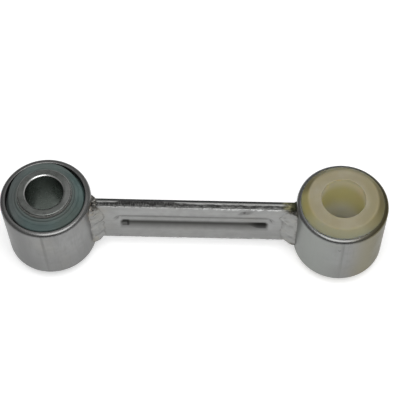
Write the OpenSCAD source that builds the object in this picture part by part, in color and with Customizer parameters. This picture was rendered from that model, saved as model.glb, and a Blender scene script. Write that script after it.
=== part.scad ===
// Stabilizer link for a van's anti-roll bar. Two rolled steel eyes are fillet welded to the
// ends of a flat bar that stands on edge. One eye holds a rubber bush with a steel sleeve for
// the chassis bolt, and the other holds a plain nylon bush for the bar's pin.
// Millimetres. The origin is midway between the eyes, +X runs along the bar to the nylon eye,
// and +Z runs along the axes of both eyes. The pressed groove of the bar faces -Y.

/* [Link] */
// distance between the axes of the two eyes
eye_spacing = 130; // [118:1:180]

/* [Eyes] */
// outside diameter of both eyes
eye_od = 40; // [38:0.5:46]
// wall of the rolled strip
eye_wall = 2.5; // [2:0.1:3]
// length of both eyes along their axes
eye_length = 34; // [30:0.5:40]
// rounding of the outer rim edges
rim_radius = 1.8; // [0.6:0.1:1.8]
// rounding of the inner rim edges
rim_inner_radius = 0.4; // [0.2:0.1:0.6]
// width of the butt seam where the rolled strip closes
seam_width = 1; // [0.4:0.1:1.4]
// depth of the butt seam below the outer surface
seam_depth = 0.15; // [0.1:0.05:0.6]

/* [Bar] */
// height of the bar, along the eye axes
bar_height = 26.8; // [22:0.2:28]
// thickness of the sheet
bar_thickness = 4.4; // [3:0.1:6]
// rounding of the sheared edges on the die side, at the back
bar_edge_radius = 0.7; // [0.2:0.1:1.2]

/* [Pressed bead] */
// length of the bead from end to end
bead_length = 70; // [50:1:74]
// width of the bead where it leaves the flat face
bead_width = 9.6; // [7:0.2:14]
// width of the flat floor of the bead
bead_floor = 3.6; // [1:0.2:5]
// depth of the groove, and height of the rib behind it
bead_depth = 1.5; // [0.6:0.1:2]
// height of the bead's centre line above the middle of the bar
bead_rise = 1.2; // [-2:0.1:3]

/* [Welds] */
// reach of each weld along the bar
weld_reach = 4.8; // [3:0.1:6]
// reach of each weld out over the eye, on both sides of the bar
weld_spread = 2.8; // [1.8:0.1:4]
// reach of each weld past the top and bottom edges of the bar
weld_overrun = 0.9; // [0.4:0.1:1.1]
// fullness of the weld face above a flat fillet
weld_crown = 0.25; // [0:0.05:0.5]
// size of the back welds as a share of the front welds
weld_back_share = 0.64; // [0.5:0.02:1]

/* [Rubber bush and sleeve] */
// outside diameter of the steel sleeve
sleeve_od = 24; // [22:0.5:26]
// bore of the sleeve, for a 16 mm bolt
sleeve_bore = 16.8; // [14:0.1:17.5]
// length that the sleeve stands out of the eye at each end
sleeve_stand = 4; // [2.5:0.1:6]
// chamfer of the sleeve's outer edges
sleeve_edge = 0.6; // [0.2:0.1:1]
// chamfer of the mouths of the sleeve's bore
sleeve_mouth = 0.5; // [0.2:0.1:0.8]
// height of the rubber collar above the eye, next to the sleeve
collar_height = 1.9; // [1.2:0.1:2.3]
// width of the rubber collar around the sleeve
collar_width = 0.9; // [0.4:0.1:1.4]
// height of the rubber shoulder above the eye
shoulder_height = 0.7; // [0.3:0.1:1]
// gap between the rubber shoulder and the wall of the eye
shoulder_gap = 0.9; // [0.4:0.1:1.4]
// depth of that gap below the rim
shoulder_depth = 2.4; // [1.6:0.1:5]

/* [Nylon bush] */
// bore of the nylon bush, for a 19 mm pin
nylon_bore = 19.1; // [16:0.1:21]
// length that the nylon bush stands out of the eye at each end
nylon_stand = 4; // [2.5:0.1:6]
// width of the sloping shoulder between the face and the rim
nylon_slope = 2.3; // [1.5:0.1:3.5]
// rounding of the crown between the face and the sloping shoulder
nylon_crown = 1.4; // [0.4:0.1:2.4]
// rounding of the mouths of the bore
nylon_lip = 0.5; // [0.3:0.1:1.8]

/* [Fits] */
// radial gap of the rubber bush in its eye and of the sleeve in the rubber
running_gap = 0.05; // [0.02:0.01:0.1]
// radial gap of the pressed-in nylon bush
press_gap = 0.02; // [0.02:0.01:0.04]

/* [Hidden] */
$fn = 96;

// a cut runs this far past the face that it leaves through
past = 1;
eye_x = eye_spacing / 2;
eye_id = eye_od - 2 * eye_wall;
rim_z = eye_length / 2;

bead_steps = 12;
bead_straight = bead_length - bead_width;
// the rib is the groove's profile carried through the sheet, so it is a little wider
rib_growth = 0.9;
rib_root = 0.3;

weld_steps = 6;
// share of the reach after which the weld's ends taper off
weld_shoulder = 0.3;

sleeve_z = rim_z + sleeve_stand;
rubber_ri = sleeve_od / 2 + running_gap;
rubber_ro = eye_id / 2 - running_gap;
shoulder_r = eye_id / 2 - shoulder_gap;
shoulder_round = 0.6;
collar_fall = 0.5;

nylon_ro = eye_id / 2 - press_gap;
nylon_z = rim_z + nylon_stand;
nylon_face_r = nylon_ro - nylon_slope;
nylon_foot = 0.3;
nylon_steps = 5;

zinc_grey = [0.62, 0.63, 0.62];
weld_grey = [0.56, 0.56, 0.53];
sleeve_grey = [0.45, 0.45, 0.46];
rubber_teal = [0.35, 0.4, 0.39];
nylon_cream = [0.88, 0.86, 0.72];

// Takes a square corner off to a quarter round; the corner is at [r, r].
module corner_cut(r) {
    difference() {
        square(r + past);
        circle(r = r);
    }
}

// Closes a half outline, listed outwards from the bore, with its mirror image below.
function both_ways(half) =
    concat(half, [for (i = [len(half) - 1 : -1 : 0]) [half[i][0], -half[i][1]]]);

// Repeats a cut at both ends of an eye.
module both_ends() {
    children();
    mirror([0, 1]) children();
}

// Wall of an eye, in radius and height.
module eye_section() {
    difference() {
        translate([eye_id / 2, -rim_z]) square([eye_wall, eye_length]);
        both_ends() translate([eye_od / 2 - rim_radius, rim_z - rim_radius]) corner_cut(rim_radius);
        both_ends() translate([eye_id / 2 + rim_inner_radius, rim_z - rim_inner_radius])
            mirror([1, 0]) corner_cut(rim_inner_radius);
    }
}

// A rolled eye, with its butt seam at the front.
module eye(x) {
    translate([x, 0, 0]) difference() {
        rotate_extrude() eye_section();
        translate([0, -eye_od / 2, 0]) linear_extrude(eye_length + 2 * past, center = true)
            polygon([[-seam_width, -seam_depth], [seam_width, -seam_depth], [0, seam_depth]]);
    }
}

// The full cylinder that an eye fills, which cuts what seats on it.
module eye_core(x) {
    translate([x, 0, 0]) cylinder(h = 2 * eye_length, r = eye_od / 2, center = true);
}

// Sheared bar before pressing, as long as the eye spacing.
module bar_blank() {
    rotate([90, 0, 90]) linear_extrude(eye_spacing, center = true) difference() {
        square([bar_thickness, bar_height], center = true);
        both_ends() translate([bar_thickness / 2 - bar_edge_radius, bar_height / 2 - bar_edge_radius])
            corner_cut(bar_edge_radius);
    }
}

// Half outline of a pressed bead: a flat top that falls to the sheet in one smooth wave.
module bead_half(width, flat, height, root) {
    wave = [for (i = [0 : bead_steps]) let (s = i / bead_steps)
        [width / 2 + (flat - width) / 2 * s, height / 2 * (1 - cos(180 * s))]];
    polygon(concat([[0, -root], [width / 2, -root]], wave, [[0, height]]));
}

// A pressed bead with round ends, raised along +Y from the plane y = 0.
module bead(width, flat, height, root) {
    rotate([-90, 0, 0]) union() {
        rotate([90, 0, 90]) linear_extrude(bead_straight, center = true) {
            bead_half(width, flat, height, root);
            mirror([1, 0]) bead_half(width, flat, height, root);
        }
        for (side = [-1, 1]) translate([side * bead_straight / 2, 0, 0])
            rotate_extrude() bead_half(width, flat, height, root);
    }
}

module link_bar() {
    color(zinc_grey) difference() {
        union() {
            bar_blank();
            translate([0, bar_thickness / 2, bead_rise])
                bead(bead_width + rib_growth, bead_floor + rib_growth, bead_depth, rib_root);
        }
        translate([0, -bar_thickness / 2, bead_rise]) bead(bead_width, bead_floor, bead_depth, past);
        eye_core(-eye_x);
        eye_core(eye_x);
    }
}

// Plan of one weld run at the eye on -X, on the +Y side of the bar: a full face between its
// toe on the eye and its toe on the bar, closed inside the eye and the bar.
module weld_plan(reach, spread) {
    eye_r = eye_od / 2;
    toe_y = bar_thickness / 2 + spread;
    toe_x = sqrt(eye_r * eye_r - toe_y * toe_y);
    end_x = eye_r + reach;
    face = [for (i = [0 : weld_steps]) let (s = i / weld_steps) [
        toe_x + (end_x - toe_x) * s + weld_crown * sin(180 * s),
        toe_y - spread * s + weld_crown * sin(180 * s)
    ]];
    polygon(concat(face, [[end_x, 0], [toe_x - eye_wall / 2, 0], [toe_x - eye_wall / 2, toe_y]]));
}

// Side view of a weld run: it wraps over the edges of the bar and tapers off along them.
module weld_side(reach) {
    root_x = eye_od / 2 - eye_wall;
    fall_x = eye_od / 2 + reach * weld_shoulder;
    end_x = eye_od / 2 + reach + weld_overrun;
    top = bar_height / 2 + weld_overrun;
    polygon(both_ways([[root_x, top], [fall_x, top], [end_x, top - 2 * weld_overrun]]));
}

// One of the two runs of a weld at the eye on -X: side 0 is the back run and side 1 the front.
module weld_run(side) {
    share = side == 1 ? 1 : weld_back_share;
    difference() {
        mirror([0, side, 0]) translate([-eye_x, 0, 0]) intersection() {
            linear_extrude(2 * bar_height, center = true)
                weld_plan(weld_reach * share, weld_spread * share);
            rotate([90, 0, 0]) linear_extrude(eye_od, center = true) weld_side(weld_reach * share);
        }
        bar_blank();
        eye_core(-eye_x);
    }
}

module rubber_eye() {
    color(zinc_grey) eye(-eye_x);
}

module nylon_eye() {
    color(zinc_grey) eye(eye_x);
}

module rubber_eye_front_weld() {
    color(weld_grey) weld_run(1);
}

module rubber_eye_back_weld() {
    color(weld_grey) weld_run(0);
}

module nylon_eye_front_weld() {
    color(weld_grey) mirror([1, 0, 0]) weld_run(1);
}

module nylon_eye_back_weld() {
    color(weld_grey) mirror([1, 0, 0]) weld_run(0);
}

// Rubber bush: pressed against the eye, free at the mouth, with a collar that rises beside
// the sleeve.
module rubber_bush() {
    collar_r = rubber_ri + collar_width;
    fall_r = collar_r + collar_fall;
    shoulder_top = rim_z + shoulder_height;
    collar = [
        [rubber_ri, rim_z + collar_height],
        [collar_r, rim_z + collar_height],
        [fall_r, shoulder_top + collar_fall]
    ];
    shoulder = [for (a = [90 : -15 : 0])
        [shoulder_r - shoulder_round * (1 - cos(a)), shoulder_top - shoulder_round * (1 - sin(a))]];
    seat = [
        [shoulder_r, rim_z - shoulder_depth],
        [rubber_ro, rim_z - shoulder_depth - shoulder_gap]
    ];
    color(rubber_teal) translate([-eye_x, 0, 0]) rotate_extrude()
        polygon(both_ways(concat(collar, shoulder, seat)));
}

module inner_sleeve() {
    color(sleeve_grey) translate([-eye_x, 0, 0]) rotate_extrude()
        polygon(both_ways([
            [sleeve_bore / 2, sleeve_z - sleeve_mouth],
            [sleeve_bore / 2 + sleeve_mouth, sleeve_z],
            [sleeve_od / 2 - sleeve_edge, sleeve_z],
            [sleeve_od / 2, sleeve_z - sleeve_edge]
        ]));
}

// Nylon bush: a straight barrel in the eye, with a sloping shoulder, a round crown and a flat
// face at each end.
module nylon_bush() {
    fall = atan2(nylon_stand + nylon_foot, nylon_slope);
    crown_r = nylon_face_r - nylon_crown * tan(fall / 2);
    crown = [for (i = [0 : nylon_steps]) let (a = fall * i / nylon_steps)
        [crown_r + nylon_crown * sin(a), nylon_z - nylon_crown * (1 - cos(a))]];
    color(nylon_cream) translate([eye_x, 0, 0]) rotate_extrude() difference() {
        polygon(both_ways(concat([[nylon_bore / 2, nylon_z]], crown, [[nylon_ro, rim_z - nylon_foot]])));
        both_ends() translate([nylon_bore / 2 + nylon_lip, nylon_z - nylon_lip])
            mirror([1, 0]) corner_cut(nylon_lip);
    }
}

link_bar();
rubber_eye();
nylon_eye();
rubber_eye_front_weld();
rubber_eye_back_weld();
nylon_eye_front_weld();
nylon_eye_back_weld();
rubber_bush();
inner_sleeve();
nylon_bush();
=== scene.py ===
"""Stabilizer link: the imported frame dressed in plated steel, weld metal, rubber and nylon.

Metres, in the part's own frame: +X runs along the bar to the nylon eye, +Z along the axes of
both eyes, and the pressed groove of the bar faces -Y. Shapes and places in materials are
written in millimetres, and colours as linear RGB.
"""

import math
from typing import NamedTuple

import bpy
from mathutils import Matrix, Vector, noise


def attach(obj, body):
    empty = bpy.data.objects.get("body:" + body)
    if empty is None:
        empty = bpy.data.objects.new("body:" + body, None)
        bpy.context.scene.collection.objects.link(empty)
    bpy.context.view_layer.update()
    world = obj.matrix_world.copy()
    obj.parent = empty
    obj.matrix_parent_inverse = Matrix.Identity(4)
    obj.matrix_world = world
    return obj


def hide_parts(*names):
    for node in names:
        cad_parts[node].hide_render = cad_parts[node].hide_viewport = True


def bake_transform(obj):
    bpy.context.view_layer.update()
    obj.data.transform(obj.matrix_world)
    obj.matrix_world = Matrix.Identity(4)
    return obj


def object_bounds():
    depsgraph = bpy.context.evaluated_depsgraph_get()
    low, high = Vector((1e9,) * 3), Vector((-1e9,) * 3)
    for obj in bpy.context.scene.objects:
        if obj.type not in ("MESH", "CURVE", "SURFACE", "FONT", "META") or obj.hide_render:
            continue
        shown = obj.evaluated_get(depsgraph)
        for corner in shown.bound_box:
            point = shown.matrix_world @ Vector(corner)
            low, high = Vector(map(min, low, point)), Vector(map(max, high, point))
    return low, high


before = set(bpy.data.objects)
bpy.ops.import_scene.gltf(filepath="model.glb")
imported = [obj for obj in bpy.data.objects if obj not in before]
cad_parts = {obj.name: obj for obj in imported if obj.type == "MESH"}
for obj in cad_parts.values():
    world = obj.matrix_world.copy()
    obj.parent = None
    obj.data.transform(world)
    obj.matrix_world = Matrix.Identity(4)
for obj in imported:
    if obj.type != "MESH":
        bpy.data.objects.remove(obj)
cad_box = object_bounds()

MM = 0.001

# Sizes of the part.
EYE_X = 65.0
EYE_R = 20.0
RIM_Z = 17.0
BAR_TOP = 13.4
BAR_HALF = 2.2
BAR_BACK_ROUND = 0.7
BAR_OVERLAP = 0.06
SLEEVE_R = 12.0
SLEEVE_BORE_R = 8.4
SLEEVE_Z = 20.98
NYLON_R = 17.48
NYLON_FACE_R = 15.2
NYLON_FOOT_R = 18.35
NYLON_BORE_R = 9.55
NYLON_Z = 20.97
RUBBER_IN_R = 12.05
RUBBER_OUT_R = 17.45

# Pressed bead: crisp along its upper edge, with a lower flank that fades out into the face.
BEAD_RISE = 1.2
BEAD_STRAIGHT = 31.0
GROOVE_FLOOR = 1.8
GROOVE_FLOOR_SHIFT = 0.8
GROOVE_EDGE = 4.6
GROOVE_FADE = 1.8
GROOVE_DEPTH = 1.7
RIB_FLAT = 2.25
RIB_FOOT = 5.25
RIB_HEIGHT = 1.5

# Sheared edges of the bar: a burnished slope at the back, then the torn fracture down to the burr.
BURNISH_LEAST = 0.2
BURNISH_MORE = 0.24
BURNISH_SLOPE = 0.5
TORN_STEP = 0.25
TORN_ROUGH = 0.14
LIP_HEIGHT = 0.62
BURR_TOOTH = 1.3
BURR_TOOTH_MORE = 0.7
BURR_PROUD = 0.2

# Handling mark on the front of the bar: its middle, its slope, its half sizes and how dark it is.
SCUFF_X, SCUFF_Z = 23.1, 10.2
SCUFF_SLOPE = 0.3
SCUFF_LONG, SCUFF_WIDE = 4.4, 2.3
SCUFF_SHARE = 0.92

# Shoulder of the rubber: where its two gaps are (degrees), and how far it closes and opens.
RUBBER_GAPS = (186.0, 38.0)
RUBBER_CLOSE = 0.8
RUBBER_OPEN = 1.27

# Weld runs.
WELD_X = 44.0
WELD_END = (45.2, -3.2, 13.6)
WELD_OVERRUN = 0.9
WELD_FLUSH_DROP = 0.15
WELD_LUMP = 8.6
WELD_RIPPLE = 1.5
WELD_SWELL = 0.355
WELD_LOBE_MEAN = 0.74
WELD_TAPER = 0.1
WELD_FLUSH_TAPER = 0.03
WELD_ROOT_POINTS = 4


class WeldRun(NamedTuple):
    """How one weld run is laid: where it lies, its noise seed and its sizes."""

    end_x: float
    side_y: float
    seed: float
    size: float = 1.0
    spread: float = 2.8
    reach: float = 4.8
    lobe: float = 0.75
    pinch: float = 0.0
    flush: bool = False


WELD_RUNS = {
    "rubber_eye_front": WeldRun(-EYE_X, -1.0, 3.0, spread=3.7),
    "rubber_eye_back": WeldRun(-EYE_X, 1.0, 17.0, size=0.62, flush=True),
    "nylon_eye_front": WeldRun(EYE_X, -1.0, 33.0, reach=6.3, lobe=0.4),
    "nylon_eye_back": WeldRun(EYE_X, 1.0, 47.0, size=0.62, pinch=0.8),
}

# Share of the plating that shines as metal; the rest is a matt film.
PLATING_METAL = 0.62
PLATING_EDGE = {"Specular_IOR_Level": 0.2, "Specular_Tint": (0.6, 0.6, 0.6, 1.0)}

# Colours shared by all plated pieces.
ZINC_YELLOW = (0.31, 0.29, 0.235)
ZINC_HEAT = (0.27, 0.2, 0.11)
ZINC_SPECK = (0.13, 0.13, 0.12)

# Colours of the eyes.
EYE_LIGHT = (0.305, 0.307, 0.305)
EYE_DARK = (0.244, 0.246, 0.244)
EYE_STREAK = (0.16, 0.16, 0.153)
EYE_LOW_SHADE = (0.16, 0.16, 0.157)
EYE_SEAM = (0.11, 0.11, 0.105)
EYE_FAR_SIDE_SHADE = (0.185, 0.187, 0.186)
EYE_GREEN_PAINTED_LIGHT = (0.3, 0.318, 0.296)
EYE_OLIVE_SHADE_PALE = (0.246, 0.226, 0.145)
EYE_OLIVE_SHADE_DEEP = (0.114, 0.102, 0.052)
EYE_SOOT = (0.035, 0.029, 0.024)
EYE_STRAW = (0.3, 0.26, 0.2)
EYE_GAP_SHADE = (0.02, 0.022, 0.02)
RIM_REFLECTION_GREY = (0.135, 0.135, 0.133)
RIM_REFLECTION_OLIVE = (0.08, 0.068, 0.034)

# Colours of the bar.
BAR_LIGHT = (0.362, 0.364, 0.359)
BAR_DARK = (0.296, 0.298, 0.293)
BAR_STREAK = (0.18, 0.18, 0.172)
BAR_LOW_SHADE = (0.19, 0.19, 0.184)
TORN_DARK = (0.028, 0.028, 0.027)
TORN_LIGHT = (0.12, 0.12, 0.116)
FOOT_DARK = (0.07, 0.07, 0.067)
FOOT_LIGHT = (0.22, 0.22, 0.213)
BURNISHED = (0.3, 0.3, 0.293)
BURR_HIGHLIGHT_GREY = (0.58, 0.585, 0.575)
BURR_HIGHLIGHT_BRIGHT = (0.85, 0.86, 0.85)
BAR_GRIME_AND_SHADE = (0.045, 0.045, 0.042)
BAR_CORNER_SHADE = (0.012, 0.012, 0.011)
DIE_ROLL_PAINTED_SHADE = (0.03, 0.03, 0.03)
SCORCH_DARK = (0.05, 0.048, 0.024)
SCORCH_LIGHT = (0.26, 0.24, 0.125)
SCORCH_SOOT = (0.02, 0.022, 0.01)
SPATTER_DARK = (0.02, 0.019, 0.016)
SPATTER_GREY = (0.17, 0.165, 0.15)
SPATTER_BRIGHT = (0.62, 0.6, 0.57)

# Colours of the welds.
WELD_LIGHT = (0.33, 0.332, 0.324)
WELD_DARK = (0.25, 0.251, 0.244)
WELD_PALE = (0.38, 0.383, 0.37)
WELD_TOE_SHADE = (0.12, 0.115, 0.1)
WELD_CREASE_SHADE = (0.12, 0.118, 0.11)
WELD_STRAW = (0.32, 0.28, 0.2)
WELD_END_PALE = (0.45, 0.41, 0.36)
WELD_END_BROWN = (0.19, 0.165, 0.1)
WELD_END_DARK = (0.03, 0.029, 0.025)
WELD_END_SOOT = (0.03, 0.028, 0.02)
WELD_BACK_EDGE_SHADE = (0.018, 0.018, 0.015)

# Colours of the rubber.
RUBBER_DARK = (0.05, 0.078, 0.075)
RUBBER_LIGHT = (0.086, 0.125, 0.119)
RUBBER_BACK = (0.112, 0.128, 0.12)
RUBBER_FRONT_SHADE = (0.05, 0.074, 0.072)
RUBBER_LEFT = (0.08, 0.085, 0.083)
RUBBER_RIGHT = (0.05, 0.064, 0.052)
RUBBER_COLLAR = (0.092, 0.104, 0.098)
RUBBER_DUST = (0.17, 0.19, 0.185)

# Colours of the sleeve.
SLEEVE_DARK = (0.128, 0.135, 0.128)
SLEEVE_LIGHT = (0.168, 0.177, 0.168)
SLEEVE_MARK = (0.11, 0.109, 0.105)
SLEEVE_EDGE_HIGHLIGHT = (0.66, 0.66, 0.65)
SLEEVE_WORN = (0.26, 0.265, 0.26)
SLEEVE_SIDE_PAINTED_LIGHT = (0.36, 0.35, 0.335)
SLEEVE_BORE = (0.13, 0.16, 0.138)

# Colours of the nylon.
NYLON_DARK = (0.325, 0.293, 0.199)
NYLON_LIGHT = (0.36, 0.328, 0.236)
NYLON_BORE_PAINTED_LIGHT_LOW = (0.71, 0.69, 0.57)
NYLON_BORE_PAINTED_LIGHT_MIDDLE = (0.66, 0.61, 0.3)
NYLON_BORE_PAINTED_LIGHT_HIGH = (0.73, 0.69, 0.52)
NYLON_BORE_PAINTED_LIGHT_MOUTH = (0.61, 0.58, 0.45)
NYLON_BORE_PAINTED_LIGHT_FOOT = (0.33, 0.3, 0.2)
NYLON_FACE_SIDE_SHADE = (0.305, 0.275, 0.172)
FLANK_LIT_FRONT = (0.335, 0.322, 0.216)
FLANK_SHADED_BACK = (0.318, 0.28, 0.118)
FLANK_SIDE_SHADE_FRONT = (0.26, 0.228, 0.118)
FLANK_SIDE_SHADE_BACK = (0.142, 0.121, 0.052)
FLANK_CRESCENT_SHADOW = (0.125, 0.104, 0.042)
NYLON_FAR_EDGE_SHADE = (0.14, 0.136, 0.085)
NYLON_GRIME = (0.25, 0.225, 0.12)
CRESCENT_SHADOW_X, CRESCENT_SHADOW_Y = -0.788, 0.616

# Studio: floor and lamps in metres, lamps as name, place, size and watts.
FLOOR_HALF = 6.0
FLOOR_DROP = 0.0003
FLOOR_STEPS = 12
FLOOR_GLOW = 0.45
FLOOR_DARK = (0.82, 0.82, 0.82)
FLOOR_LIGHT = (0.84, 0.84, 0.84)
LAMPS = (
    ("key", (0.03, -0.16, 0.5), 0.4, 1.65),
    ("overhead", (0.0, 0.05, 1.0), 1.0, 1.9),
)

# World light: how much the height of a direction counts, and ramps as low, high, from and to.
WORLD_TILT = 0.45
WORLD_FRONT = (-0.95, -0.35, 0.06, 0.43)
WORLD_HORIZON = (0.0, 0.55, 0.5, 1.0)
WORLD_SIDE = 0.35

# Camera fitted to the photograph: degrees, metres and millimetres of lens and sensor.
CAMERA_AZIMUTH = 3.108
CAMERA_ELEVATION = 59.475
CAMERA_ROLL = -1.467
CAMERA_DISTANCE = 0.532905
CAMERA_TARGET = (0.002833, 0.0, 0.017071)
CAMERA_LENS = 110.08
CAMERA_SENSOR = 36.0
CAMERA_CLIP = 0.01


def share(low, high, value):
    """How far a value is from low to high, held between 0 and 1."""
    return min(max((value - low) / (high - low), 0.0), 1.0)


def smooth(low, high, value):
    """0 at low, 1 at high, with a smooth turn between; low may be the larger one."""
    t = share(low, high, value)
    return t * t * (3.0 - 2.0 * t)


def wander(x, y, z, scale, octaves=1):
    """Smooth noise of about -1 to 1 at a point in millimetres, with features of the given size."""
    total, size, gain = 0.0, 1.0 / scale, 1.0
    for _ in range(octaves):
        total += gain * noise.noise(Vector((x * size + 3.1, y * size + 7.7, z * size + 1.3)))
        size *= 2.1
        gain *= 0.5
    return total


def make_object(name, points, faces, marks=None):
    """A smooth-shaded mesh from points in millimetres, with per-point float attributes."""
    mesh = bpy.data.meshes.new(name)
    mesh.from_pydata([(x * MM, y * MM, z * MM) for x, y, z in points], [], faces)
    mesh.update()
    for mark, values in (marks or {}).items():
        mesh.attributes.new(mark, "FLOAT", "POINT").data.foreach_set("value", values)
    mesh.polygons.foreach_set("use_smooth", [True] * len(mesh.polygons))
    obj = bpy.data.objects.new(name, mesh)
    bpy.context.scene.collection.objects.link(obj)
    return obj


def loft_faces(loops, size):
    """Quads between consecutive closed loops of the same size, with both ends capped."""
    faces = []
    for i in range(loops - 1):
        a, b = i * size, (i + 1) * size
        for j in range(size):
            k = (j + 1) % size
            faces.append((a + j, b + j, b + k, a + k))
    faces.append(tuple(range(size)))
    faces.append(tuple(range(loops * size - 1, (loops - 1) * size - 1, -1)))
    return faces


def corner_arc(before, corner, after, steps=7):
    """Points of the arc that rounds a corner given as (a, b, radius)."""
    here = Vector(corner[:2])
    to_last = (Vector(before[:2]) - here).normalized()
    to_next = (Vector(after[:2]) - here).normalized()
    half = to_last.angle(to_next) / 2.0
    radius = corner[2]
    reach = radius / math.tan(half)
    centre = here + (to_last + to_next).normalized() * (radius / math.sin(half))
    start = here + to_last * reach - centre
    end = here + to_next * reach - centre
    turn = start.angle_signed(end, 0.0)
    arc = []
    for i in range(steps + 1):
        a = -turn * i / steps
        c, s = math.cos(a), math.sin(a)
        arc.append(centre + Vector((start.x * c - start.y * s, start.x * s + start.y * c)))
    return arc


def rounded(corners, longest=0.9, hold=0.12):
    """A closed outline with rounded corners; long runs are split and held close to their ends."""
    outline = []
    for i, corner in enumerate(corners):
        outline += corner_arc(corners[i - 1], corner, corners[(i + 1) % len(corners)])
    dense = []
    for i, here in enumerate(outline):
        after = outline[(i + 1) % len(outline)]
        length = (after - here).length
        parts = max(1, math.ceil(length / longest))
        dense.append(here)
        if parts > 1:
            dense.append(here.lerp(after, hold / length))
            dense.extend(here.lerp(after, j / parts) for j in range(1, parts))
            dense.append(here.lerp(after, 1.0 - hold / length))
    return dense


def both_ends(top):
    """The rounded outline of a piece whose lower end mirrors its upper end."""
    return rounded(top + [(r, -z, radius) for r, z, radius in reversed(top)])


def revolve(name, centre_x, outline, reshape, steps=144):
    """Turns a closed outline of (radius, height) about an eye's axis; reshape makes it uneven."""
    points = []
    for i in range(steps):
        a = 2.0 * math.pi * i / steps
        c, s = math.cos(a), math.sin(a)
        for r, z in outline:
            r, z = reshape(r, z, a)
            points.append((centre_x + r * c, r * s, z))
    size = len(outline)
    faces = []
    for i in range(steps):
        a, b = i * size, ((i + 1) % steps) * size
        for j in range(size):
            k = (j + 1) % size
            faces.append((a + j, a + k, b + k, b + j))
    return make_object(name, points, faces)


def moulded(amount):
    """A reshape for moulded pieces: a slight unevenness of the skin."""
    def reshape(r, z, a):
        grow = amount * wander(r * math.cos(a), r * math.sin(a), z, 6.0, 2)
        return r + grow, z + 0.4 * grow
    return reshape


def groove(x, z):
    """Depth of the pressed groove below the front face, and the painted shade along its upper edge, its
    lower flank and its lower corners.
    """
    rise = z - BEAD_RISE
    out = math.hypot(rise, max(0.0, abs(x) - BEAD_STRAIGHT))
    lean = rise / max(out, 0.01)
    below, above = smooth(0.25, -0.45, lean), smooth(0.1, 0.7, lean)
    floor = GROOVE_FLOOR + GROOVE_FLOOR_SHIFT * (above - below)
    edge = GROOVE_EDGE + GROOVE_FADE * below + 0.1 * above
    t = share(floor, edge, out) ** (1.0 - 0.3 * below)
    depth = GROOVE_DEPTH * (1.0 - smooth(0.0, 1.0, t))
    # Painted shade: a line along the groove's upper edge and a band on its floor under the lip.
    lip = smooth(edge - 0.3, edge, out) * smooth(edge + 0.9, edge + 0.3, out)
    under = smooth(0.6, 1.2, rise) * smooth(floor + 0.3, floor - 0.3, out)
    crease_shade = above * max(0.8 * lip, under)
    return depth, crease_shade, groove_shade_streak(x, rise), groove_corner_shade(x, rise)


def groove_shade_streak(x, rise):
    """Painted shade along the lower flank of the groove, fading out downwards."""
    start = smooth(-0.9, -2.4, rise)
    fade = (1.0 - share(-2.6, -7.4, rise)) ** 1.25
    return start * fade * smooth(33.6, 32.4, abs(x))


def groove_corner_shade(x, rise):
    """Painted shade in both lower corners of the groove, most on the nylon side."""
    ends = smooth(32.6, 31.8, abs(x))
    if x < 0.0:
        upper = smooth(-1.2, -1.7, rise) * smooth(-2.9, -2.4, rise)
        lower = smooth(-3.5, -3.8, rise) * smooth(-4.7, -4.3, rise)
        post = smooth(-1.4, -1.8, rise) * smooth(-4.6, -4.2, rise) * smooth(-30.3, -29.9, x)
        return ends * smooth(-28.6, -29.8, x) * max(0.8 * upper, 0.5 * lower, 0.9 * post)
    foot = -2.7 - 1.9 * smooth(23.0, 29.5, x)
    top = smooth(-1.4, -2.0, rise)
    fade = 1.0 - 0.45 * share(-2.2, foot, rise)
    return ends * smooth(22.0, 29.0, x) * top * fade * smooth(foot - 0.3, foot + 0.1, rise)


def rib(x, z):
    """Height of the rib behind the groove above the back face."""
    out = math.hypot(z - BEAD_RISE, max(0.0, abs(x) - BEAD_STRAIGHT))
    return RIB_HEIGHT * (1.0 - smooth(RIB_FLAT, RIB_FOOT, out))


def bar_ring():
    """Points (y, z) around the section of the bar: front face up, top, back face down, bottom."""
    fine = [-13.1, -12.7, -12.2, -11.4, -10.2, -9.0, -7.8, -6.8, -5.9]
    fine += [-5.2 + 0.3 * i for i in range(40)]
    fine += [7.1, 7.8, 8.4, 8.9, 9.4, 9.9, 10.4, 10.9, 11.4, 11.9, 12.3, 12.7, 12.95, 13.15]
    front = [(-BAR_HALF, z) for z in fine]
    top = [(-BAR_HALF + 0.08, BAR_TOP)]
    top += [(-BAR_HALF + 0.2 * i, BAR_TOP) for i in range(1, 18)]
    flat_end = BAR_HALF - BAR_BACK_ROUND
    for i in range(1, 7):
        a = math.radians(90.0 - 15.0 * i)
        top.append((flat_end + BAR_BACK_ROUND * math.cos(a),
                    BAR_TOP - BAR_BACK_ROUND * (1.0 - math.sin(a))))
    back = [(BAR_HALF, z) for z in reversed(fine) if abs(z) < BAR_TOP - BAR_BACK_ROUND - 0.05]
    bottom = [(y, -z) for y, z in reversed(top)]
    return front + top + back + bottom


def shear_edge(x, y, side):
    """Height change, fracture share and torn foot across a sheared edge; side is 1 above, -1 below."""
    t = share(-BAR_HALF, BAR_HALF, y)
    wide = max(smooth(-14.0, 0.0, x * side), 0.8 * smooth(-32.0, -35.0, x))
    burnish = BURNISH_LEAST + BURNISH_MORE * wide + 0.07 * wander(x, 0.0, 9.0 * side, 5.0, 2)
    below = 1.0 - burnish - t
    if below < 0.0:
        return -BURNISH_SLOPE * (1.0 - t), 0.0, 0.0
    torn = smooth(0.0, 0.1, below)
    drop = -BURNISH_SLOPE * burnish - TORN_STEP * torn
    rough = TORN_ROUGH * wander(0.5 * x, y * 1.6, 5.0 * side, 1.1, 3) * torn
    lip = (1.0 - smooth(0.02, 0.2, t)) * max(0.0, 0.45 + 0.75 * wander(x, 2.0, side, 2.2, 3))
    foot = 1.0 - smooth(0.24, 0.38, t + 0.1 * wander(x, 6.0, side, 1.6, 2))
    return drop + rough + LIP_HEIGHT * lip, smooth(0.0, 0.05, below), foot


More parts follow.
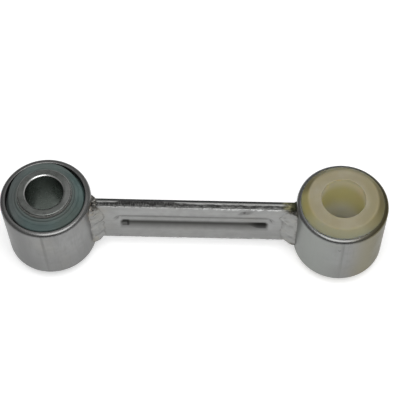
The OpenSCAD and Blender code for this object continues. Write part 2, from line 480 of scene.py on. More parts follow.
def front_burr(x, z):
    """Ragged lip along the sheared edges of the front face, longer towards the nylon end."""
    side = math.copysign(1.0, z)
    ragged = max(0.0, 0.4 + 0.8 * wander(x, 4.0, 3.0 * side, 1.9, 3))
    tooth = (BURR_TOOTH + BURR_TOOTH_MORE * smooth(-10.0, 10.0, x)) * ragged
    return smooth(BAR_TOP - 0.3 - tooth, BAR_TOP - 0.15, abs(z)) * min(1.0, 0.35 + 0.65 * ragged)


def scuff(x, z):
    """A dull handling mark on the front face, near the top at the nylon end."""
    along = (x - SCUFF_X) / SCUFF_LONG
    across = (z - SCUFF_Z - SCUFF_SLOPE * (x - SCUFF_X)) / SCUFF_WIDE
    fade = 1.0 - smooth(0.3, 1.0, math.hypot(along, across))
    return SCUFF_SHARE * fade * (0.55 + 0.45 * smooth(-0.3, 0.3, wander(x, z, 2.0, 1.6, 2)))


def bar_point(x, y, z):
    """A point of the bar's skin moved to its true place, and its wear marks."""
    marks = dict.fromkeys(("fracture", "foot", "burr", "crease_shade", "grime", "corner_shade", "die_roll_shade"), 0.0)
    if y <= -BAR_HALF + 1e-6:
        # Painted shade: a dark line along the bottom front edge.
        low = smooth(-BAR_TOP + 0.8, -BAR_TOP + 0.1, z)
        depth, marks["crease_shade"], streak, marks["corner_shade"] = groove(x, z)
        burr = front_burr(x, z)
        marks["burr"] = burr * (1.0 - low)
        # The grime mark holds painted shade along the groove's lower flank and the bottom edge, and the
        # real handling scuff.
        marks["grime"] = max(streak, 0.6 * low, scuff(x, z))
        y += depth - BURR_PROUD * burr ** 2 + 0.02 * wander(x, 0.0, z, 8.0)
    elif abs(z) >= BAR_TOP - 1e-6:
        side = math.copysign(1.0, z)
        rise, marks["fracture"], marks["foot"] = shear_edge(x, y, side)
        marks["burr"] = 1.0 - smooth(0.15, 0.6, y + BAR_HALF)
        # Painted dark reflection on the rolled back part of the edge.
        marks["die_roll_shade"] = smooth(0.6, 1.15, y)
        z += side * rise
    else:
        # Painted dark reflection on the back face next to the rolled edges.
        marks["die_roll_shade"] = smooth(BAR_TOP - 1.3, BAR_TOP - 0.5, abs(z))
        y += rib(x, z)
    return (x, y, z), marks


def build_bar(stations=330):
    """The bar: sheared edges with a burr at the front, the pressed groove and the rib behind."""
    ring = bar_ring()
    points, marks = [], {}
    for i in range(stations + 1):
        for y, z in ring:
            half_x = EYE_X - math.sqrt(EYE_R ** 2 - y * y) + BAR_OVERLAP
            point, found = bar_point(half_x * (2.0 * i / stations - 1.0), y, z)
            points.append(point)
            for mark, value in found.items():
                marks.setdefault(mark, []).append(value)
    return make_object("bar", points, loft_faces(stations + 1, len(ring)), marks)


def weld_bow(s):
    """How far the ripples and lobes of a weld run trail behind at its two toes."""
    return 1.6 * (2.0 * s - 1.0) ** 2


def weld_lobe(run, s, z):
    """Height of the overlapping lobes at a place on a weld run, and the painted shade of the crease
    between them.
    """
    drift = 3.4 * wander(run.seed, 5.0 * s, z, 9.0) + 1.2 * wander(run.seed + 2.0, 6.0 * s, z, 3.0)
    part = ((z + 1.1 * weld_bow(s) + drift) / WELD_LUMP + run.seed) % 1.0
    lobe = math.sqrt(1.0 - (1.88 * part - 0.94) ** 2)
    faint = smooth(-0.4, 0.5, wander(run.seed + 8.0, 5.0 * s, z, 3.5))
    crease_shade = (1.0 - smooth(0.0, 0.2, min(part, 1.0 - part))) * smooth(0.05, 0.5, s) * faint
    return lobe, crease_shade


def weld_swell(run, w, s, z, lobe):
    """How far a weld run stands out of the straight line between its two toes."""
    phase = 2.0 * math.pi * (z + weld_bow(s)) / WELD_RIPPLE
    ripple = 0.05 * math.sin(phase + 2.4 * wander(run.seed, 2.0, z, 5.0))
    lump = 0.6 * wander(run.seed + 4.0 * s, 4.0 * s, z, 4.0, 2)
    swell = math.sin(math.pi * s) ** 1.2 * run.size
    if run.flush:
        swell *= 1.0 - 0.85 * smooth(0.7, 0.95, abs(w))
    return swell * (WELD_SWELL + run.lobe * (lobe - WELD_LOBE_MEAN) + lump + ripple)


def weld_face(run, w, s):
    """Point on a weld run and the painted shade of its crease: w runs up the bar, s from the eye's toe
    to the bar's.
    """
    z_end = BAR_TOP + WELD_OVERRUN * run.size - 2.0 * WELD_OVERRUN * smooth(0.2, 1.0, s)
    z = w * (BAR_TOP - WELD_FLUSH_DROP if run.flush else z_end)
    lobe, crease_shade = weld_lobe(run, s, z)
    end_pinch = 1.0 - run.pinch * smooth(0.45, 0.95, abs(w))
    spread = run.spread * run.size * end_pinch * (1.0 + 0.16 * wander(run.seed, 1.0, z, 4.5, 2))
    draw_in = 1.0 - 0.4 * smooth(0.5, 1.0, w) - 0.15 * smooth(-0.6, -1.0, w)
    uneven = 0.98 + 0.05 * lobe + 0.24 * wander(run.seed, 5.0, z, 5.5, 2)
    reach = run.reach * run.size * draw_in * uneven
    out = end_pinch * weld_swell(run, w, s, z, lobe)
    toe_q = BAR_HALF + spread
    toe_p = math.sqrt(EYE_R ** 2 - toe_q ** 2) - 0.05
    p = toe_p + (EYE_R + reach - toe_p) * s + 0.5 * out
    q = toe_q - spread * s - 0.04 * s + 0.86 * out
    taper = WELD_FLUSH_TAPER if run.flush else WELD_TAPER
    end = math.sqrt(max(0.0, 1.0 - (max(0.0, abs(w) - 1.0 + taper) / taper) ** 2))
    keep = 0.12 + 0.88 * end
    root_p, root_q = EYE_R - 0.4, BAR_HALF - 0.3
    return (root_p + (p - root_p) * keep, root_q + (q - root_q) * keep, z), crease_shade


def weld_root(first, last):
    """The hidden points that close a loop of a weld run inside the bar and the eye."""
    return [(last[0] - 0.2, 0.02, last[2]), (EYE_R - 1.2, 0.02, first[2]),
            (EYE_R - 2.0, 2.2, first[2]), (first[0] - 0.8, first[1] - 0.3, first[2])]


def build_weld(name, run, stations=84, across=18):
    """One lumpy fillet run between an eye and the bar, closed inside both of them."""
    places = [j / across for j in range(across + 1)]
    edge = [1.0 - smooth(0.02, 0.18, min(s, 1.0 - s)) for s in places] + [1.0] * WELD_ROOT_POINTS
    points, marks = [], {"toe": [], "crease_shade": []}
    for i in range(stations + 1):
        face = [weld_face(run, 2.0 * i / stations - 1.0, s) for s in places]
        loop = [point for point, _ in face]
        loop += weld_root(loop[0], loop[-1])
        crease_shade = [value for _, value in face] + [0.0] * WELD_ROOT_POINTS
        toe = list(edge)
        if run.end_x * run.side_y > 0.0:
            for row in (loop, crease_shade, toe):
                row.reverse()
        points += [(run.end_x - math.copysign(p, run.end_x), run.side_y * q, z) for p, q, z in loop]
        marks["toe"] += toe
        marks["crease_shade"] += crease_shade
    return make_object(name, points, loft_faces(stations + 1, len(edge)), marks)


def pressed_rubber(r, z, a):
    """The free shoulder of the rubber sits askew: two gaps stay open and the rest nearly closes."""
    facing = max(0.0, *(math.cos(a - math.radians(gap)) for gap in RUBBER_GAPS))
    close = RUBBER_CLOSE - RUBBER_OPEN * facing ** 5
    r += close * smooth(14.0, 15.0, abs(z)) * smooth(14.9, 16.6, r)
    return moulded(0.03)(r, z, a)


def build_rubber():
    """The rubber bush: a collar by the sleeve, a faint moulded ring and a free round shoulder."""
    top = [
        (RUBBER_IN_R, 18.9, 0.15), (12.95, 18.9, 0.4), (13.35, 18.0, 0.35), (14.45, 17.85, 0.2),
        (14.7, 17.7, 0.12), (14.95, 17.82, 0.2), (16.6, 17.55, 0.75), (16.6, 14.5, 0.4),
        (RUBBER_OUT_R, 13.7, 0.3),
    ]
    return revolve("rubber", -EYE_X, both_ends(top), pressed_rubber)


def build_sleeve():
    """The steel sleeve, with turned edges that are slightly round."""
    top = [
        (SLEEVE_BORE_R, SLEEVE_Z - 0.45, 0.25), (SLEEVE_BORE_R + 0.6, SLEEVE_Z, 0.5),
        (SLEEVE_R - 0.5, SLEEVE_Z, 0.45), (SLEEVE_R, SLEEVE_Z - 0.5, 0.4),
    ]
    return revolve("sleeve", -EYE_X, both_ends(top), moulded(0.008))


def build_nylon():
    """The nylon bush, with a soft moulded crown at each end whose thin foot lies on the rim."""
    top = [
        (NYLON_BORE_R, NYLON_Z, 0.45), (NYLON_FACE_R, NYLON_Z, 1.3),
        (NYLON_FOOT_R, RIM_Z + 0.05, 0.1), (NYLON_R, RIM_Z + 0.03, 0.02),
    ]
    return revolve("nylon", EYE_X, both_ends(top), moulded(0.02))


class Nodes:
    """A node tree with short calls to add nodes; an input is a socket or a plain value."""

    def __init__(self, tree):
        self.tree = tree
        self.tree.nodes.clear()

    def feed(self, socket, value):
        """Links a socket to an input, or sets a plain value on it."""
        if isinstance(value, bpy.types.NodeSocket):
            self.tree.links.new(value, socket)
        else:
            socket.default_value = value

    def add(self, kind, inputs=None, **settings):
        """A node with its settings and inputs."""
        node = self.tree.nodes.new(kind)
        for key, value in settings.items():
            setattr(node, key, value)
        for key, value in (inputs or {}).items():
            self.feed(node.inputs[key], value)
        return node

    def math(self, operation, a, b=0.0, clamp=False):
        """The result of a Math node."""
        return self.add("ShaderNodeMath", {0: a, 1: b}, operation=operation, use_clamp=clamp).outputs[0]

    def plus(self, a, b):
        """Sum of two values."""
        return self.math("ADD", a, b)

    def minus(self, a, b):
        """Difference of two values."""
        return self.math("SUBTRACT", a, b)

    def times(self, a, b):
        """Product of two values."""
        return self.math("MULTIPLY", a, b)

    def size(self, a):
        """A value without its sign."""
        return self.math("ABSOLUTE", a)

    def span(self, value, low, high, to_low=0.0, to_high=1.0):
        """Maps low..high of a value to a new range, clamped and smooth."""
        return self.add("ShaderNodeMapRange", {
            "Value": value, "From Min": low, "From Max": high, "To Min": to_low, "To Max": to_high,
        }, interpolation_type="SMOOTHSTEP").outputs[0]


class Paint(Nodes):
    """A material with one shader and with places in millimetres."""

    def __init__(self, name):
        self.material = bpy.data.materials.new(name)
        self.material.use_nodes = True
        super().__init__(self.material.node_tree)
        output = self.add("ShaderNodeOutputMaterial")
        self.shader = self.add("ShaderNodeBsdfPrincipled")
        self.feed(output.inputs[0], self.shader.outputs[0])
        self.mm = self.add("ShaderNodeTexCoord").outputs["Object"]
        self.mm = self.stretch(1.0 / MM, 1.0 / MM, 1.0 / MM)
        self.x, self.y, self.z = self.add("ShaderNodeSeparateXYZ", {0: self.mm}).outputs

    def stretch(self, x, y, z):
        """The place scaled per axis, for streaks."""
        node = self.add("ShaderNodeVectorMath", {0: self.mm, 1: (x, y, z)}, operation="MULTIPLY")
        return node.outputs[0]

    def grain(self, size, detail=3.0, rough=0.55, where=None):
        """Noise from 0 to 1 with features of the given size in millimetres."""
        return self.add("ShaderNodeTexNoise", {
            "Vector": where or self.mm, "Scale": 1.0 / size, "Detail": detail, "Roughness": rough,
        }).outputs["Fac"]

    def patches(self, size, low, high, most=1.0, detail=3.0):
        """Soft patches of the given size, as a share from 0 to most."""
        return self.span(self.grain(size, detail), low, high, 0.0, most)

    def blend(self, a, b, part):
        """A weighted sum of two values: part of the first and the rest of the second."""
        return self.plus(self.times(a, part), self.times(b, 1.0 - part))

    def mix(self, part, a, b):
        """A colour mix; a and b are colour sockets or RGB values."""
        node = self.add("ShaderNodeMix", {0: part}, data_type="RGBA")
        for key, value in ((6, a), (7, b)):
            self.feed(node.inputs[key], (*value, 1.0) if isinstance(value, tuple) else value)
        return node.outputs[2]

    def mark(self, name):
        """A per-point attribute of the mesh."""
        return self.add("ShaderNodeAttribute", attribute_name=name).outputs["Fac"]

    def hypot(self, a, b):
        """Length of the long side over two short ones."""
        return self.math("SQRT", self.plus(self.times(a, a), self.times(b, b)))

    def radius(self, centre_x):
        """Distance from an eye's axis in millimetres."""
        return self.hypot(self.minus(self.x, centre_x), self.y)

    def rings(self, centre_x, size):
        """Noise that only changes with radius and height, as turning and mould marks do."""
        where = self.add("ShaderNodeCombineXYZ", {0: self.radius(centre_x), 1: self.z}).outputs[0]
        return self.grain(size, 2.0, 0.6, where)

    def bump(self, height, strength, depth_mm, under=None):
        """A normal from a height, on top of another normal if one is given."""
        inputs = {"Height": height, "Strength": strength, "Distance": depth_mm * MM}
        if under is not None:
            inputs["Normal"] = under
        return self.add("ShaderNodeBump", inputs).outputs[0]

    def finish(self, colour, rough, normal, **values):
        """Joins the results to the shader, sets the other values on it and gives the material."""
        values.update(Base_Color=colour, Roughness=rough, Normal=normal)
        for key, value in values.items():
            self.feed(self.shader.inputs[key.replace("_", " ")], value)
        return self.material


def plating(paint, light, dark):
    """Colour, roughness and bump height shared by everything that is zinc plated."""
    cloud = paint.grain(2.6, 3.0, 0.5)
    tone = paint.blend(paint.grain(11.0, 4.0), cloud, 0.65)
    colour = paint.mix(paint.span(tone, 0.34, 0.66), dark, light)
    colour = paint.mix(paint.patches(16.0, 0.5, 0.75, 0.2, detail=2.0), colour, ZINC_YELLOW)
    from_weld = paint.size(paint.minus(paint.size(paint.x), WELD_X))
    heat = paint.times(paint.span(from_weld, 2.5, 7.0, 1.0, 0.0), paint.patches(2.6, 0.5, 0.74))
    heat = paint.times(heat, paint.span(paint.size(paint.z), 5.0, 13.0, 0.09, 0.6))
    colour = paint.mix(heat, colour, ZINC_HEAT)
    speck = paint.grain(0.5, 2.0, 0.5)
    colour = paint.mix(paint.span(speck, 0.7, 0.82, 0.0, 0.3), colour, ZINC_SPECK)
    return colour, paint.span(tone, 0.3, 0.7, 0.27, 0.38), paint.blend(cloud, speck, 0.7)


def eye_seam(paint, aside):
    """Butt seam of the rolled strip down the front of each eye, fainter towards its foot."""
    seam = paint.times(paint.span(aside, 0.1, 1.1, 0.34, 0.0), paint.span(paint.y, -19.0, -19.4))
    return paint.times(seam, paint.span(paint.z, -16.0, 10.0, 0.5, 1.0))


def eye_painted_light_and_shade(paint, colour):
    """Painted shade on the far side of the rubber eye; on the nylon eye, greenish painted light by the
    bar and olive painted shade on its far side.
    """
    # Painted shade on the far side of the rubber eye.
    colour = paint.mix(paint.span(paint.x, -66.0, -77.0, 0.0, 0.8), colour, EYE_FAR_SIDE_SHADE)
    # Painted light, greenish, on the nylon eye by the bar.
    green = paint.times(paint.span(paint.x, 30.0, 45.0, 0.0, 0.7), paint.span(paint.x, 72.0, 52.0))
    colour = paint.mix(green, colour, EYE_GREEN_PAINTED_LIGHT)
    # Olive painted shade on the far side of the nylon eye.
    front = paint.span(paint.y, 12.0, 2.0)
    pale = paint.times(front, paint.span(paint.x, 66.0, 78.0, 0.0, 0.9))
    colour = paint.mix(pale, colour, EYE_OLIVE_SHADE_PALE)
    deep = paint.times(front, paint.span(paint.x, 75.0, 85.5, 0.0, 0.95))
    return paint.mix(deep, colour, EYE_OLIVE_SHADE_DEEP)


def near_weld_end(paint):
    """Share from 0 to 1 of how close a place is to the upper front end of a weld run."""
    mirrored = paint.add("ShaderNodeCombineXYZ", {0: paint.size(paint.x), 1: paint.y, 2: paint.z})
    places = {0: mirrored.outputs[0], 1: WELD_END}
    from_end = paint.add("ShaderNodeVectorMath", places, operation="DISTANCE").outputs["Value"]
    return paint.span(from_end, 1.6, 3.6, 1.0, 0.0)


def eye_material():
    """Rolled and plated strip: hazy zinc and faint marks along the axis, painted shade towards the foot
    and a painted dark reflection on the rims.
    """
    paint = Paint("plated_eye")
    colour, rough, height = plating(paint, EYE_LIGHT, EYE_DARK)
    streak = paint.grain(1.3, 3.0, 0.6, paint.stretch(1.0, 1.0, 0.07))
    colour = paint.mix(paint.span(streak, 0.5, 0.8, 0.0, 0.3), colour, EYE_STREAK)
    # Painted shade: darker towards the foot of the eye.
    colour = paint.mix(paint.span(paint.z, 8.0, -17.0, 0.0, 0.4), colour, EYE_LOW_SHADE)
    aside = paint.size(paint.minus(paint.size(paint.x), EYE_X))
    colour = paint.mix(eye_seam(paint, aside), colour, EYE_SEAM)
    colour = eye_painted_light_and_shade(paint, colour)
    burnt = near_weld_end(paint)
    heat = paint.mix(paint.patches(1.2, 0.5, 0.66), EYE_SOOT, EYE_STRAW)
    colour = paint.mix(paint.times(burnt, 0.92), colour, heat)
    up = paint.size(paint.z)
    rim = paint.span(up, 15.2, 16.4)
    # Painted dark reflection on the rims, olive by the nylon.
    wear_and_reflection = paint.mix(paint.span(paint.x, 62.0, 82.0), RIM_REFLECTION_GREY, RIM_REFLECTION_OLIVE)
    colour = paint.mix(paint.times(rim, 0.8), colour, wear_and_reflection)
    # Painted shade: the inner wall in the gap by the rubber is painted nearly black.
    wall = paint.span(paint.hypot(aside, paint.y), 17.55, 17.75, 0.9, 0.0)
    colour = paint.mix(paint.times(wall, paint.span(up, 16.4, 16.8, 1.0, 0.0)), colour, EYE_GAP_SHADE)
    rough = paint.minus(paint.plus(rough, paint.times(burnt, 0.3)), paint.times(rim, 0.08))
    height = paint.plus(height, paint.times(streak, 0.5))
    height = paint.times(height, paint.span(rim, 0.0, 1.0, 1.0, 0.25))
    metal = paint.span(rim, 0.0, 1.0, PLATING_METAL, 0.8)
    return paint.finish(colour, rough, paint.bump(height, 0.12, 0.05), Metallic=metal, **PLATING_EDGE)


def torn_metal(paint):
    """Colour and grain of the fracture: tears across the edge at the rubber end, along it elsewhere."""
    across = paint.grain(0.9, 4.0, 0.65, paint.stretch(1.9, 0.5, 0.5))
    along = paint.grain(0.9, 4.0, 0.65, paint.stretch(0.35, 1.3, 1.0))
    rubber_side = paint.span(paint.x, -2.0, -16.0, 0.0, 0.75)
    tear = paint.plus(along, paint.times(rubber_side, paint.minus(across, along)))
    torn = paint.mix(paint.span(tear, 0.42, 0.68), TORN_DARK, TORN_LIGHT)
    foot = paint.mix(paint.span(tear, 0.36, 0.6), FOOT_DARK, FOOT_LIGHT)
    return paint.mix(paint.mark("foot"), torn, foot), tear


def bar_ends(paint, colour):
    """Scorch and soot on the upper corner at the nylon eye, and weld spatter at the rubber eye."""
    end = paint.times(paint.span(paint.x, 38.0, 41.5, 0.0, 0.85), paint.span(paint.z, 11.0, 12.8))
    scorch = paint.mix(paint.patches(1.4, 0.4, 0.62), SCORCH_DARK, SCORCH_LIGHT)
    colour = paint.mix(end, colour, scorch)
    notch = paint.times(paint.span(paint.x, 41.6, 43.4, 0.0, 0.9), paint.span(paint.z, 12.2, 12.9))
    colour = paint.mix(notch, colour, SCORCH_SOOT)
    corner = paint.times(paint.span(paint.x, -42.3, -43.2, 0.0, 0.9), paint.span(paint.z, 11.9, 12.8))
    spatter = paint.mix(paint.patches(0.9, 0.44, 0.58), SPATTER_DARK, SPATTER_GREY)
    spatter = paint.mix(paint.patches(1.3, 0.6, 0.7, detail=2.0), spatter, SPATTER_BRIGHT)
    return paint.mix(corner, colour, spatter)


def bar_material():
    """Plated sheet: dark torn shear faces, a painted highlight on the burr, painted shade in the groove
    and a painted dark reflection on the rolled back edges.
    """
    paint = Paint("plated_bar")
    colour, rough, height = plating(paint, BAR_LIGHT, BAR_DARK)
    streak = paint.grain(1.3, 3.0, 0.6, paint.stretch(0.05, 1.0, 1.2))
    colour = paint.mix(paint.span(streak, 0.52, 0.8, 0.0, 0.3), colour, BAR_STREAK)
    # Painted shade: darker towards the bottom of the bar.
    colour = paint.mix(paint.span(paint.z, 6.0, -10.0, 0.0, 0.3), colour, BAR_LOW_SHADE)
    fracture = paint.mark("fracture")
    torn, tear = torn_metal(paint)
    colour = paint.mix(paint.span(paint.size(paint.z), 13.0, 13.15, 0.0, 0.7), colour, BURNISHED)
    colour = paint.mix(fracture, colour, torn)
    # Painted highlight on the burr, brightest towards the nylon end.
    burr = paint.times(paint.mark("burr"), paint.patches(1.1, 0.3, 0.52, detail=2.0))
    colour = paint.mix(burr, colour, paint.mix(paint.span(paint.x, -8.0, 12.0), BURR_HIGHLIGHT_GREY, BURR_HIGHLIGHT_BRIGHT))
    # Painted shade in the groove's crease and along its lower flank and the bottom edge, with the real
    # handling scuff.
    crease_shade = paint.times(paint.mark("crease_shade"), 0.5)
    grime = paint.math("MAXIMUM", crease_shade, paint.times(paint.mark("grime"), 0.93))
    colour = paint.mix(grime, colour, BAR_GRIME_AND_SHADE)
    # Painted shade in the groove's lower corners.
    colour = paint.mix(paint.mark("corner_shade"), colour, BAR_CORNER_SHADE)
    # Painted dark reflection on the rolled back edges, which are also made less metallic.
    roll = paint.mark("die_roll_shade")
    colour = bar_ends(paint, paint.mix(roll, colour, DIE_ROLL_PAINTED_SHADE))
    rough = paint.plus(rough, paint.times(fracture, 0.15))
    fine = paint.bump(paint.plus(height, paint.times(streak, 0.5)), 0.12, 0.05)
    rugged = paint.bump(paint.times(fracture, tear), 0.8, 0.2, fine)
    metal = paint.span(roll, 0.0, 1.0, PLATING_METAL, 0.1)
    return paint.finish(colour, rough, rugged, Metallic=metal, **PLATING_EDGE)


def weld_ends(paint):
    """Share and colour of the burnt weld ends: straw at the rubber eye, soot at the nylon eye."""
    high = paint.size(paint.z)
    burnt = paint.times(paint.span(high, 10.5, 13.0), paint.patches(1.7, 0.38, 0.56))
    straw = paint.mix(paint.span(paint.x, -20.0, 20.0), WELD_END_PALE, WELD_END_BROWN)
    tint = paint.mix(paint.patches(0.9, 0.42, 0.6), WELD_END_DARK, straw)
    sooty = paint.math("MAXIMUM", paint.mark("toe"), paint.span(high, 12.5, 13.3))
    sooty = paint.times(sooty, paint.span(paint.x, 0.0, 20.0))
    tint = paint.mix(sooty, tint, WELD_END_SOOT)
    return paint.math("MAXIMUM", burnt, paint.times(sooty, paint.span(high, 11.0, 12.4))), tint


def weld_material():
    """Plated weld metal: painted shade in the toes, in the creases and on the top of the back runs,
    with straw to brown heat tint at the ends.
    """
    paint = Paint("weld_metal")
    colour, rough, height = plating(paint, WELD_LIGHT, WELD_DARK)
    colour = paint.mix(paint.span(paint.x, 0.0, 30.0, 0.0, 0.4), colour, WELD_PALE)
    # Painted shade in the toes.
    soot = paint.times(paint.mark("toe"), paint.patches(1.6, 0.4, 0.62, 0.5))
    colour = paint.mix(soot, colour, WELD_TOE_SHADE)
    # Painted shade in the creases between the lobes.
    colour = paint.mix(paint.times(paint.mark("crease_shade"), 0.22), colour, WELD_CREASE_SHADE)
    colour = paint.mix(paint.patches(4.2, 0.58, 0.76, 0.35), colour, WELD_STRAW)
    burnt, tint = weld_ends(paint)
    colour = paint.mix(paint.times(burnt, 0.85), colour, tint)
    # Painted shade on the upper part of the back runs, which face away from the light.
    high = paint.span(paint.size(paint.z), 11.6, 12.6, 0.0, 0.9)
    colour = paint.mix(paint.times(paint.span(paint.y, 2.7, 3.3), high), colour, WELD_BACK_EDGE_SHADE)
    rough = paint.plus(rough, paint.times(burnt, 0.25))
    normal = paint.bump(height, 0.3, 0.08)
    return paint.finish(colour, rough, normal, Metallic=PLATING_METAL, **PLATING_EDGE)


def rubber_material():
    """Moulded rubber: matt grey green with a paler bloom, mould rings and fine grain."""
    paint = Paint("bush_rubber")
    bloom = paint.grain(5.0, 4.0)
    ring = paint.rings(-EYE_X, 1.4)
    colour = paint.mix(paint.span(paint.blend(bloom, ring, 0.7), 0.34, 0.66), RUBBER_DARK, RUBBER_LIGHT)
    colour = paint.mix(paint.span(paint.y, 8.0, 15.0, 0.0, 0.6), colour, RUBBER_BACK)
    # Painted shade at the front of the rubber.
    colour = paint.mix(paint.span(paint.y, -11.0, -15.0, 0.0, 0.6), colour, RUBBER_FRONT_SHADE)
    colour = paint.mix(paint.span(paint.x, -71.0, -78.0, 0.0, 0.7), colour, RUBBER_LEFT)
    right = paint.times(paint.span(paint.x, -62.0, -56.0), paint.span(paint.y, 0.0, -9.0, 0.0, 0.55))
    colour = paint.mix(right, colour, RUBBER_RIGHT)
    colour = paint.mix(paint.span(paint.radius(-EYE_X), 14.6, 12.6, 0.0, 0.65), colour, RUBBER_COLLAR)
    fine = paint.grain(0.3, 2.0)
    colour = paint.mix(paint.span(fine, 0.62, 0.85, 0.0, 0.2), colour, RUBBER_DUST)
    rough = paint.span(bloom, 0.3, 0.7, 0.48, 0.62)
    normal = paint.bump(paint.blend(fine, ring, 0.4), 0.2, 0.05)
    return paint.finish(colour, rough, normal, Specular_IOR_Level=0.35)


def sleeve_material():
    """Turned steel: fine tool marks round the axis under a thin dull film, a painted highlight round
    the bore's edge and painted light on the outer wall.
    """
    paint = Paint("sleeve_steel")
    ring = paint.rings(-EYE_X, 0.3)
    film = paint.grain(3.5, 4.0)
    colour = paint.mix(paint.span(film, 0.32, 0.68), SLEEVE_DARK, SLEEVE_LIGHT)
    colour = paint.mix(paint.span(ring, 0.5, 0.8, 0.0, 0.35), colour, SLEEVE_MARK)
    away = paint.radius(-EYE_X)
    # Painted highlight round the bore's edge.
    edge = paint.times(paint.span(away, 8.45, 8.55), paint.span(away, 8.8, 9.0, 1.0, 0.0))
    colour = paint.mix(edge, colour, SLEEVE_EDGE_HIGHLIGHT)
    wear_and_reflection = paint.times(paint.span(paint.x, -58.0, -54.5), paint.span(ring, 0.35, 0.6, 0.3, 0.8))
    colour = paint.mix(wear_and_reflection, colour, SLEEVE_WORN)
    # Painted light on the outer wall.
    wall = paint.span(away, 11.9, 11.97)
    colour = paint.mix(wall, colour, SLEEVE_SIDE_PAINTED_LIGHT)
    colour = paint.mix(paint.span(away, 8.42, 8.5, 0.75, 0.0), colour, SLEEVE_BORE)
    rough = paint.plus(paint.span(film, 0.3, 0.7, 0.24, 0.34), paint.times(wall, 0.25))
    return paint.finish(colour, rough, paint.bump(ring, 0.1, 0.02), Metallic=1.0)


def nylon_bore_painted_light(paint, depth):
    """Colour of the nylon's bore: painted light for the light that comes through the crown."""
    bore = paint.mix(paint.span(paint.z, -6.0, 7.0), NYLON_BORE_PAINTED_LIGHT_LOW, NYLON_BORE_PAINTED_LIGHT_MIDDLE)
    bore = paint.mix(paint.span(depth, 12.0, 19.0), bore, NYLON_BORE_PAINTED_LIGHT_HIGH)
    bore = paint.mix(paint.span(depth, 18.6, 20.0), bore, NYLON_BORE_PAINTED_LIGHT_MOUTH)
    return paint.mix(paint.span(paint.z, -9.0, -14.0), bore, NYLON_BORE_PAINTED_LIGHT_FOOT)


def nylon_flank(paint, aside, ahead, shaded_side):
    """Colour of the sloping flank: painted light in front, painted shade on the far side and a painted
    shadow crescent behind.
    """
    # Painted light on the front of the flank, painted shade at its sides and back.
    flank = paint.mix(paint.span(ahead, -0.8, -0.3), FLANK_LIT_FRONT, FLANK_SHADED_BACK)
    # Painted shade on the far side from the bar.
    side_shade = paint.mix(paint.span(ahead, -0.7, 0.0), FLANK_SIDE_SHADE_FRONT, FLANK_SIDE_SHADE_BACK)
    flank = paint.mix(shaded_side, flank, side_shade)
    # Painted shadow: a dark crescent on the flank behind, where the foot meets the rim.
    behind = paint.plus(paint.times(aside, CRESCENT_SHADOW_X), paint.times(ahead, CRESCENT_SHADOW_Y))
    return paint.mix(paint.span(behind, 0.84, 0.98, 0.0, 0.9), flank, FLANK_CRESCENT_SHADOW)


def nylon_material():
    """Natural nylon: cream, slightly translucent, with faint flow marks and a satin skin."""
    paint = Paint("bush_nylon")
    flow = paint.grain(7.0, 4.0, 0.5)
    colour = paint.mix(paint.span(flow, 0.34, 0.66), NYLON_DARK, NYLON_LIGHT)
    away = paint.radius(EYE_X)
    depth = paint.size(paint.z)
    # Painted light in the bore, for the light that comes through the crown.
    below_mouth = paint.span(depth, 20.2, 20.65, 1.0, 0.0)
    inside = paint.times(paint.span(away, 9.57, 9.75, 1.0, 0.0), below_mouth)
    colour = paint.mix(inside, colour, nylon_bore_painted_light(paint, depth))
    ahead = paint.math("DIVIDE", paint.y, away)
    aside = paint.math("DIVIDE", paint.minus(paint.x, EYE_X), away)
    # Painted shade on the nylon's far side from the bar.
    shaded_side = paint.span(aside, 0.35, 0.95)
    colour = paint.mix(paint.times(shaded_side, paint.span(away, 10.2, 12.5)), colour, NYLON_FACE_SIDE_SHADE)
    # The flank's colour carries painted light and shade.
    flank = nylon_flank(paint, aside, ahead, shaded_side)
    colour = paint.mix(paint.span(away, 14.6, 16.0), colour, flank)
    # Painted shade along the far edge of the face.
    far_edge_shade = paint.times(paint.span(ahead, 0.5, 0.95), paint.span(away, 13.4, 15.6, 0.0, 0.75))
    colour = paint.mix(far_edge_shade, colour, NYLON_FAR_EDGE_SHADE)
    grime = paint.span(paint.grain(1.6, 4.0, 0.6), 0.62, 0.8, 0.0, 0.2)
    colour = paint.mix(grime, colour, NYLON_GRIME)
    rough = paint.span(flow, 0.3, 0.7, 0.55, 0.66)
    skin = paint.plus(paint.grain(0.5, 2.0), paint.times(paint.rings(EYE_X, 0.8), 0.6))
    normal = paint.bump(skin, 0.1, 0.04)
    return paint.finish(colour, rough, normal, Subsurface_Weight=1.0, Subsurface_Scale=0.006,
                        Subsurface_Radius=(1.0, 0.85, 0.5), Specular_IOR_Level=0.12)


def floor_material():
    """Pale matt floor that reads as white where nothing shades it."""
    paint = Paint("floor")
    tone = paint.grain(60.0, 2.0)
    ray = paint.add("ShaderNodeLightPath").outputs
    seen = paint.math("ADD", ray["Is Camera Ray"],
                      paint.plus(ray["Is Glossy Ray"], ray["Is Transmission Ray"]), clamp=True)
    colour = paint.mix(tone, FLOOR_DARK, FLOOR_LIGHT)
    rough = paint.span(tone, 0.0, 1.0, 0.9, 1.0)
    return paint.finish(colour, rough, paint.bump(tone, 0.05, 0.1), Specular_IOR_Level=0.0,
                        Emission_Color=(1.0, 1.0, 1.0, 1.0),
                        Emission_Strength=paint.times(seen, FLOOR_GLOW))


def add_floor():
    """A wide floor just under the object."""
    low = cad_box[0][2] / MM - FLOOR_DROP / MM
    half = FLOOR_HALF / MM
    row = FLOOR_STEPS + 1
    ticks = [half * (2.0 * i / FLOOR_STEPS - 1.0) for i in range(row)]
    points = [(x, y, low) for y in ticks for x in ticks]
    corners = [j * row + i for j in range(FLOOR_STEPS) for i in range(FLOOR_STEPS)]
    floor = make_object("floor", points, [(a, a + 1, a + row + 1, a + row) for a in corners])
    floor.data.materials.append(floor_material())


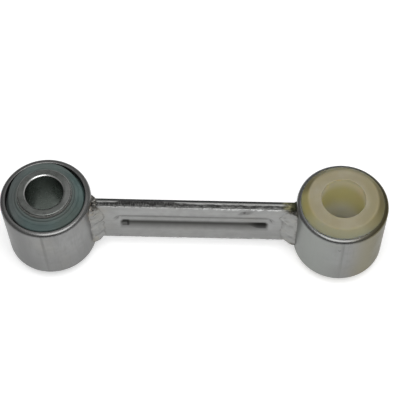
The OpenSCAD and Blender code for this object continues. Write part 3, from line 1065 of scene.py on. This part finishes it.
def add_lamp(name, place, size, watts):
    """A square soft lamp that faces the middle of the object."""
    data = bpy.data.lights.new(name, "AREA")
    data.shape = "SQUARE"
    data.size = size
    data.energy = watts
    lamp = bpy.data.objects.new(name, data)
    lamp.location = place
    lamp.rotation_euler = (-Vector(place)).to_track_quat("-Z", "Y").to_euler()
    bpy.context.scene.collection.objects.link(lamp)


def add_world():
    """An even studio, brighter on the nylon side and dark only low in front of the object."""
    world = bpy.data.worlds.new("studio")
    bpy.context.scene.world = world
    world.use_nodes = True
    nodes = Nodes(world.node_tree)
    place = nodes.add("ShaderNodeTexCoord").outputs["Generated"]
    x, y, z = nodes.add("ShaderNodeSeparateXYZ", {0: place}).outputs
    level = nodes.span(nodes.plus(nodes.times(z, WORLD_TILT), y), *WORLD_FRONT)
    level = nodes.times(level, nodes.span(z, *WORLD_HORIZON))
    level = nodes.times(level, nodes.plus(nodes.times(x, WORLD_SIDE), 1.0))
    glow = nodes.add("ShaderNodeBackground", {"Strength": level})
    nodes.add("ShaderNodeOutputWorld", {0: glow.outputs[0]})


def add_camera():
    """The photograph's camera: long lens, from the front and well above."""
    az, el, roll = (math.radians(v) for v in (CAMERA_AZIMUTH, CAMERA_ELEVATION, CAMERA_ROLL))
    back = Vector((math.sin(az) * math.cos(el), -math.cos(az) * math.cos(el), math.sin(el)))
    right = Vector((math.cos(az), math.sin(az), 0.0))
    up = back.cross(right)
    turned_right = right * math.cos(roll) + up * math.sin(roll)
    turned_up = up * math.cos(roll) - right * math.sin(roll)
    data = bpy.data.cameras.new("camera")
    data.sensor_width = CAMERA_SENSOR
    data.lens = CAMERA_LENS
    data.clip_start = CAMERA_CLIP
    camera = bpy.data.objects.new("camera", data)
    camera.matrix_world = Matrix((turned_right, turned_up, back)).transposed().to_4x4()
    camera.location = Vector(CAMERA_TARGET) + back * CAMERA_DISTANCE
    bpy.context.scene.collection.objects.link(camera)
    bpy.context.scene.camera = camera


def dress(obj, material, body, slot, *nodes):
    """Gives a new piece its material, its body and the CAD nodes that it stands for."""
    obj.data.materials.append(material)
    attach(obj, body)
    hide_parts(*nodes)


def dress_rubber(obj, material):
    """The rubber shears between the eye and the sleeve; here it gets its material, the CAD rubber is
    hidden and its place is baked into its mesh.
    """
    obj.data.materials.append(material)
    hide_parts("rubber_bush")
    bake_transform(obj)


def add_part():
    """Every visible piece of the link."""
    zinc = eye_material()
    for node in ("rubber_eye", "nylon_eye"):
        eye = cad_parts[node]
        eye.data.materials.clear()
        eye.data.materials.append(zinc)
    dress(build_bar(), bar_material(), "link", "zinc_bar", "link_bar")
    weld = weld_material()
    for name, run in WELD_RUNS.items():
        dress(build_weld(f"{name}_bead", run), weld, "link", "weld_metal", f"{name}_weld")
    dress(build_nylon(), nylon_material(), "link", "bush_nylon", "nylon_bush")
    dress(build_sleeve(), sleeve_material(), "sleeve", "sleeve_steel", "inner_sleeve")
    dress_rubber(build_rubber(), rubber_material())


def main():
    """Builds the studio and the dressed part."""
    bpy.context.scene.view_settings.view_transform = "Standard"
    add_camera()
    add_world()
    for lamp in LAMPS:
        add_lamp(*lamp)
    add_floor()
    add_part()


main()
